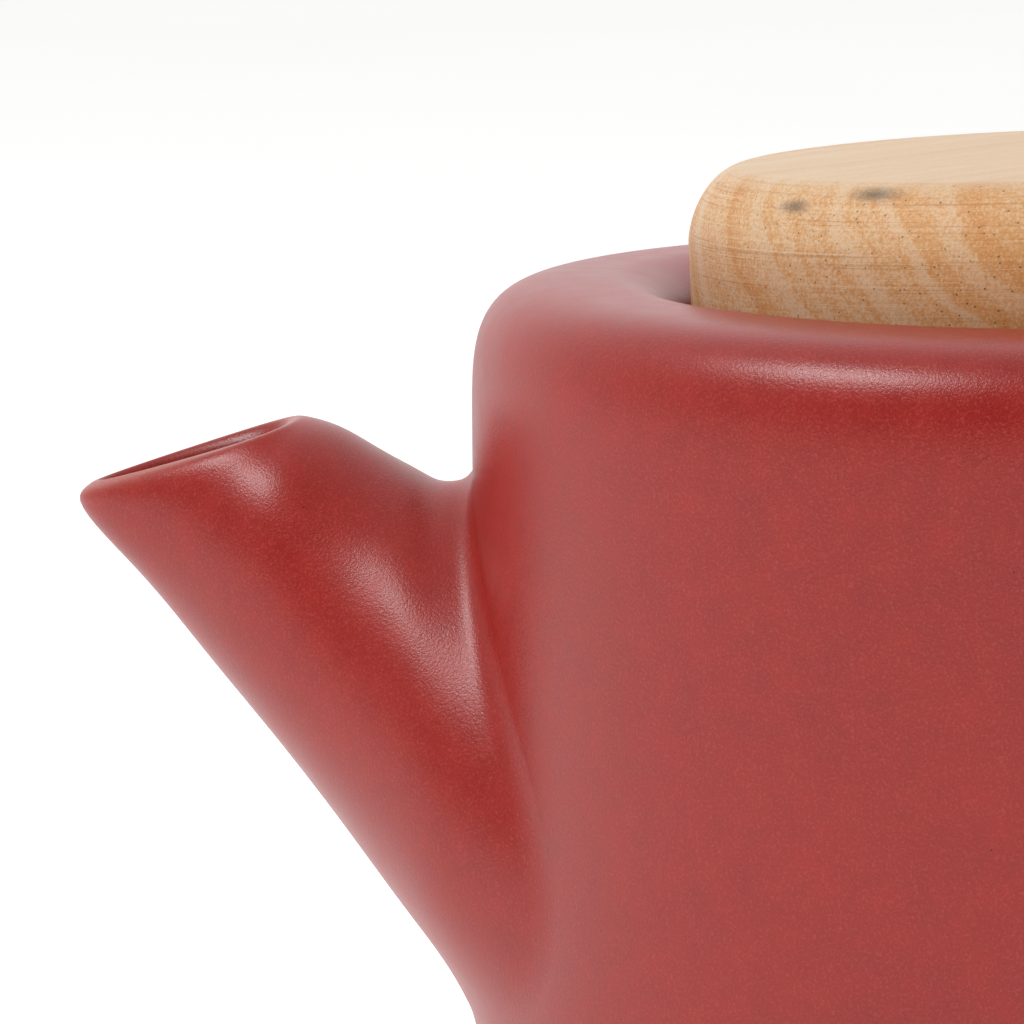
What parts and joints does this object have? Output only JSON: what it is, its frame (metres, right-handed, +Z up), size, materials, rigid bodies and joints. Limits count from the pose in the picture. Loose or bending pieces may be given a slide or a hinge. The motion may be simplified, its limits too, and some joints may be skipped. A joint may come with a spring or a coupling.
{
  "type": "stoneware teapot",
  "caption": "Cylindrical glazed stoneware teapot with a short upswept spout, a loop handle, a thick turned wooden lid and a lift-out steel infuser basket.",
  "frame": {"origin": "centre of the foot ring, on the surface that the pot stands on", "axes": "+Z up along the body's axis, -X towards the spout, +X towards the handle"},
  "size_m": [0.2223, 0.13, 0.1277],
  "materials": {
    "glaze": "satin-matte brick red glaze over stoneware, fine sandy speckle, thinner and lighter on the spout's lip",
    "lid_wood": "turned acacia, oiled, fine lathe lines on the side and long grain on the top",
    "seal": "translucent white food-grade silicone, moulded",
    "infuser_steel": "spun and pressed stainless steel, satin polished",
    "infuser_mesh": "perforated stainless steel sheet, satin"
  },
  "bodies": {
    "pot": {"pot_body": "glaze", "spout": "glaze", "handle": "glaze"},
    "infuser": {"infuser_rim": "infuser_steel", "infuser_wall": "infuser_mesh", "infuser_base_ring": "infuser_steel", "infuser_base": "infuser_mesh"},
    "lid": {"lid": "lid_wood", "lid_seal": "seal"}
  },
  "joints": [
    {"name": "infuser_lift", "type": "slide", "parent": "pot", "child": "infuser", "axis": [0, 0, 1], "range_m": [0, 0.095]},
    {"name": "lid_lift", "type": "slide", "parent": "infuser", "child": "lid", "axis": [0, 0, 1], "range_m": [0, 0.05]}
  ]
}
